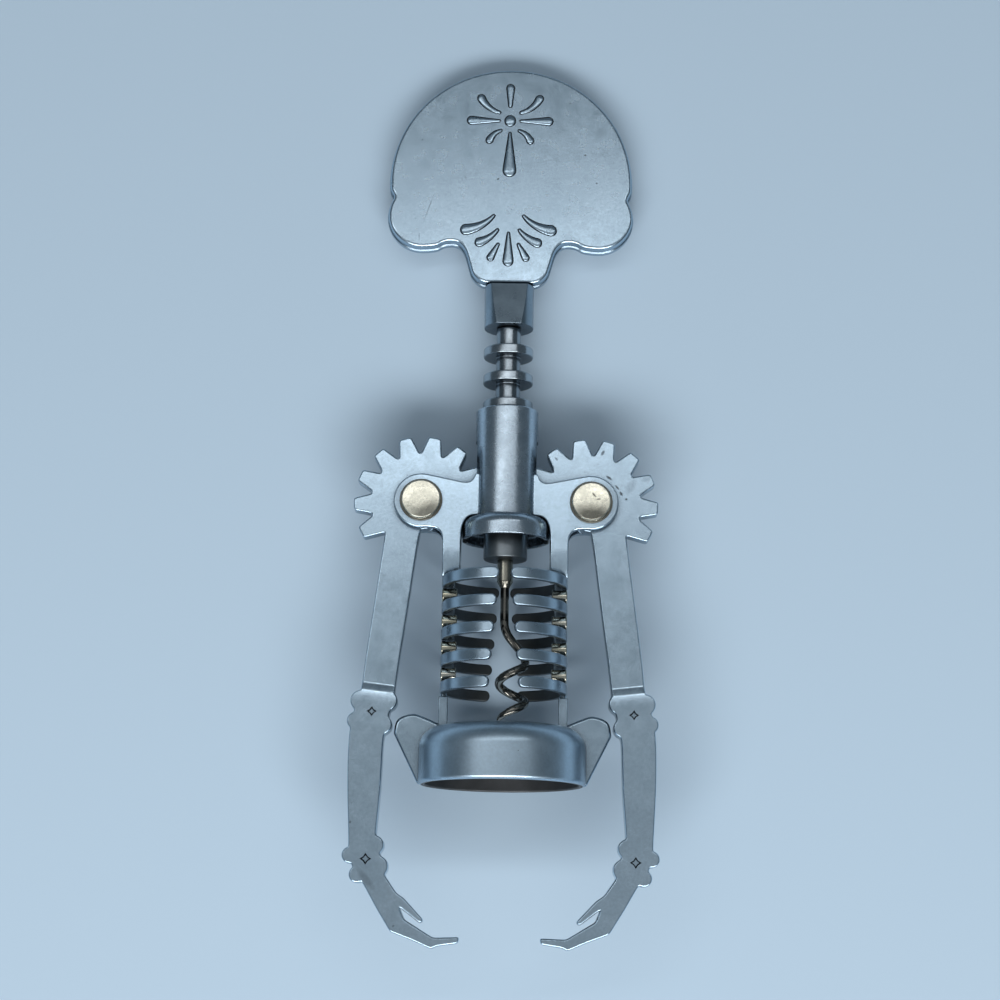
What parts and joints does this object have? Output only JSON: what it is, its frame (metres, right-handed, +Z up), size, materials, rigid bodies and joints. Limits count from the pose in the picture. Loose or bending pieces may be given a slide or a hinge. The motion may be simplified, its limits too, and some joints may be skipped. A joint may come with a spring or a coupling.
{
  "type": "wing corkscrew",
  "caption": "Wing corkscrew shaped like a skeleton, with a skull handle, ringed rack, geared arm levers, open rib cage, worm and a bell that seats on the bottle.",
  "frame": {"origin": "on the table under the middle of the box, with the tool lying on its face", "axes": "+Y towards the skull, +X across the levers, +Z up from the table through the back of the skull; the screw slopes down to the skull by 5.86 degrees"},
  "size_m": [0.076, 0.2246, 0.0415],
  "materials": {
    "skull_zinc": "satin plated zinc",
    "lever_zinc": "satin plated zinc",
    "frame_zinc": "satin plated zinc",
    "rack_zinc": "satin plated zinc",
    "rivet_brass": "pale brushed brass",
    "socket_steel": "dull steel",
    "worm_steel": "dark bright steel wire"
  },
  "bodies": {
    "frame": {"guide_tube": "frame_zinc", "left_back_cheek": "frame_zinc", "left_front_cheek": "frame_zinc", "left_rivet": "rivet_brass", "left_rib_cage": "frame_zinc", "left_cage_post": "frame_zinc", "left_hip_wing": "frame_zinc", "right_back_cheek": "frame_zinc", "right_front_cheek": "frame_zinc", "right_rivet": "rivet_brass", "right_rib_cage": "frame_zinc", "right_cage_post": "frame_zinc", "right_hip_wing": "frame_zinc", "bell_cup": "frame_zinc"},
    "rack": {"rack_sleeve": "rack_zinc"},
    "screw": {"skull_plate": "skull_zinc", "handle_shank": "rack_zinc", "spindle": "socket_steel", "worm_socket": "socket_steel", "worm_ferrule": "worm_steel", "worm": "worm_steel"},
    "left_arm": {"left_lever": "lever_zinc"},
    "right_arm": {"right_lever": "lever_zinc"}
  },
  "joints": [
    {"name": "left_lever_swing", "type": "hinge", "parent": "frame", "child": "left_arm", "pos_m": [-0.0211, -0.00397, 0.01412], "axis": [0, -0.1021, -0.9948], "range_deg": [0, 115.7]},
    {"name": "right_lever_swing", "type": "hinge", "parent": "frame", "child": "right_arm", "pos_m": [0.0211, -0.00397, 0.01412], "axis": [0, 0.1021, 0.9948], "range_deg": [0, 115.7]},
    {"name": "rack_slide", "type": "slide", "parent": "frame", "child": "rack", "axis": [0, -0.9948, 0.1021], "range_m": [0, 0.0315]},
    {"name": "screw_turn", "type": "hinge", "parent": "rack", "child": "screw", "pos_m": [0, 0.0261, 0.01103], "axis": [0, 0.9948, -0.1021], "continuous": true}
  ],
  "couplings": [
    {"joint": "right_lever_swing", "follows": "left_lever_swing", "ratio": 1},
    {"joint": "rack_slide", "follows": "left_lever_swing", "m_per_rad": 0.015597}
  ]
}
